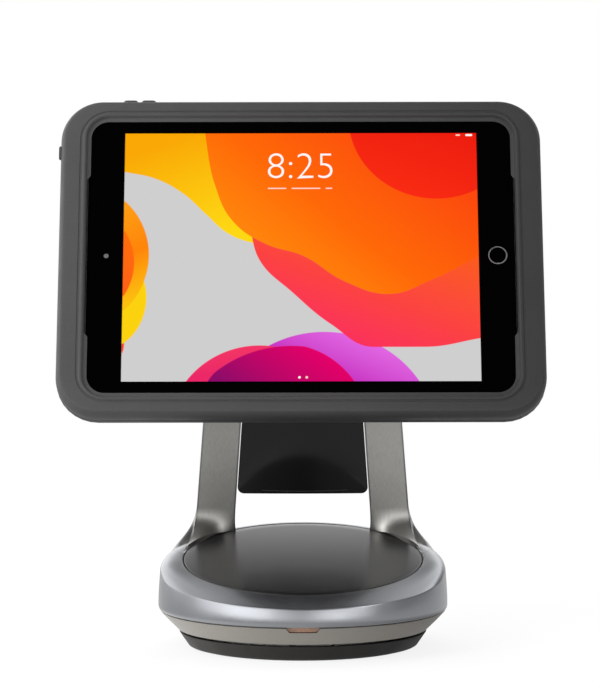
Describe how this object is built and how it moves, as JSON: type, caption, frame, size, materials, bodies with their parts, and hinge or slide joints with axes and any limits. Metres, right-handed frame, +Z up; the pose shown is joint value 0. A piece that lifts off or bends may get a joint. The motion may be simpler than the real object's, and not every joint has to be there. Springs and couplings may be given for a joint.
{
  "type": "tablet stand",
  "caption": "Counter stand: a swivelling round base with a sloping disc and two arms that hold a tablet in a protective case, tilting and turning.",
  "frame": {"origin": "centre of the rubber pad's underside, on the swivel axis, at the surface that the stand rests on", "axes": "+Z up along the swivel axis, +X to the right of a user who looks at the screen, +Y away from that user"},
  "size_m": [0.2848, 0.1696, 0.3196],
  "materials": {
    "silver_paint": "satin silver paint on cast metal",
    "face_silver": "satin silver paint, fine grain",
    "warm_silver": "satin warm silver paint",
    "dark_paint": "satin dark grey paint",
    "cast_metal": "as cast",
    "steel": "machined",
    "tablet_aluminium": "bead blasted",
    "black_satin": "satin black, fine spark texture",
    "black_plastic": "moulded matt black",
    "gloss_black": "polished black",
    "screen_glass": "black-backed cover glass",
    "screen": "lit display with an abstract picture",
    "lens": "polished",
    "case_rubber": "soft-touch dark grey",
    "pad_rubber": "matt",
    "foam": "open-cell foam",
    "bearing_plastic": "natural nylon",
    "amber_light": "translucent amber",
    "circuit_board": "solder mask",
    "battery_wrap": "foil wrap"
  },
  "bodies": {
    "foot": {"rubber_pad": "pad_rubber", "foot_shell": "dark_paint", "ballast_plate": "steel", "power_inlet": "black_plastic", "bearing_lower_race": "steel", "stop_pin": "steel", "swivel_post": "steel", "friction_spring": "steel", "post_nut": "steel"},
    "turret": {"ball_cage": "steel", "bearing_upper_race": "steel", "turntable_plate": "cast_metal", "post_bush": "bearing_plastic", "lower_skirt": "warm_silver", "status_light": "amber_light", "control_board": "circuit_board", "ring_shell": "silver_paint", "disc_cover": "black_satin", "arm_left": "silver_paint", "arm_right": "silver_paint", "arm_face_left": "face_silver", "arm_face_right": "face_silver", "neck_cover": "gloss_black", "neck_back_cover": "black_plastic", "neck_beam": "steel", "neck_screw_left": "steel", "neck_screw_right": "steel", "tilt_axle": "steel", "axle_cap_left": "black_plastic", "axle_cap_right": "black_plastic"},
    "head": {"head_bracket": "cast_metal", "hub_bearing": "bearing_plastic", "friction_disc_left": "bearing_plastic", "friction_disc_right": "bearing_plastic", "axle_sleeve": "steel"},
    "dock": {"dock_plate": "dark_paint", "hub_retainer": "steel", "dock_screw_left": "steel", "dock_screw_right": "steel", "case_back_shell": "case_rubber", "case_front_frame": "case_rubber", "case_screw_1": "steel", "case_screw_2": "steel", "case_screw_3": "steel", "case_screw_4": "steel", "foam_pad": "foam", "tablet_back_shell": "tablet_aluminium", "tablet_battery": "battery_wrap", "tablet_board": "circuit_board", "tablet_glass": "screen_glass", "display_panel": "screen", "front_camera": "lens", "rear_camera": "lens", "home_button_ring": "steel"},
    "volume_up": {"volume_up_button": "case_rubber"},
    "volume_down": {"volume_down_button": "case_rubber"},
    "power": {"power_button": "case_rubber"},
    "home": {"home_button": "screen_glass"}
  },
  "joints": [
    {"name": "base_swivel", "type": "hinge", "parent": "foot", "child": "turret", "pos_m": [0, 0, 0.0167], "axis": [0, 0, 1], "range_deg": [-165, 165]},
    {"name": "head_tilt", "type": "hinge", "parent": "turret", "child": "head", "pos_m": [0, 0.028, 0.2], "axis": [-1, 0, 0], "range_deg": [-18.5, 46.5]},
    {"name": "tablet_turn", "type": "hinge", "parent": "head", "child": "dock", "pos_m": [-0.0008, 0.01839, 0.22054], "axis": [0, 0.9171, -0.3987], "range_deg": [0, 90]},
    {"name": "volume_up_press", "type": "slide", "parent": "dock", "child": "volume_up", "axis": [0, -0.3987, -0.9171], "range_m": [0, 0.0008], "stiffness_N_per_m": 900, "springref_m": -0.0012},
    {"name": "volume_down_press", "type": "slide", "parent": "dock", "child": "volume_down", "axis": [0, -0.3987, -0.9171], "range_m": [0, 0.0008], "stiffness_N_per_m": 900, "springref_m": -0.0012},
    {"name": "power_press", "type": "slide", "parent": "dock", "child": "power", "axis": [1, 0, 0], "range_m": [0, 0.0008], "stiffness_N_per_m": 900, "springref_m": -0.0012},
    {"name": "home_press", "type": "slide", "parent": "dock", "child": "home", "axis": [0, 0.9171, -0.3987], "range_m": [0, 0.0003], "stiffness_N_per_m": 1200, "springref_m": -0.0008}
  ]
}
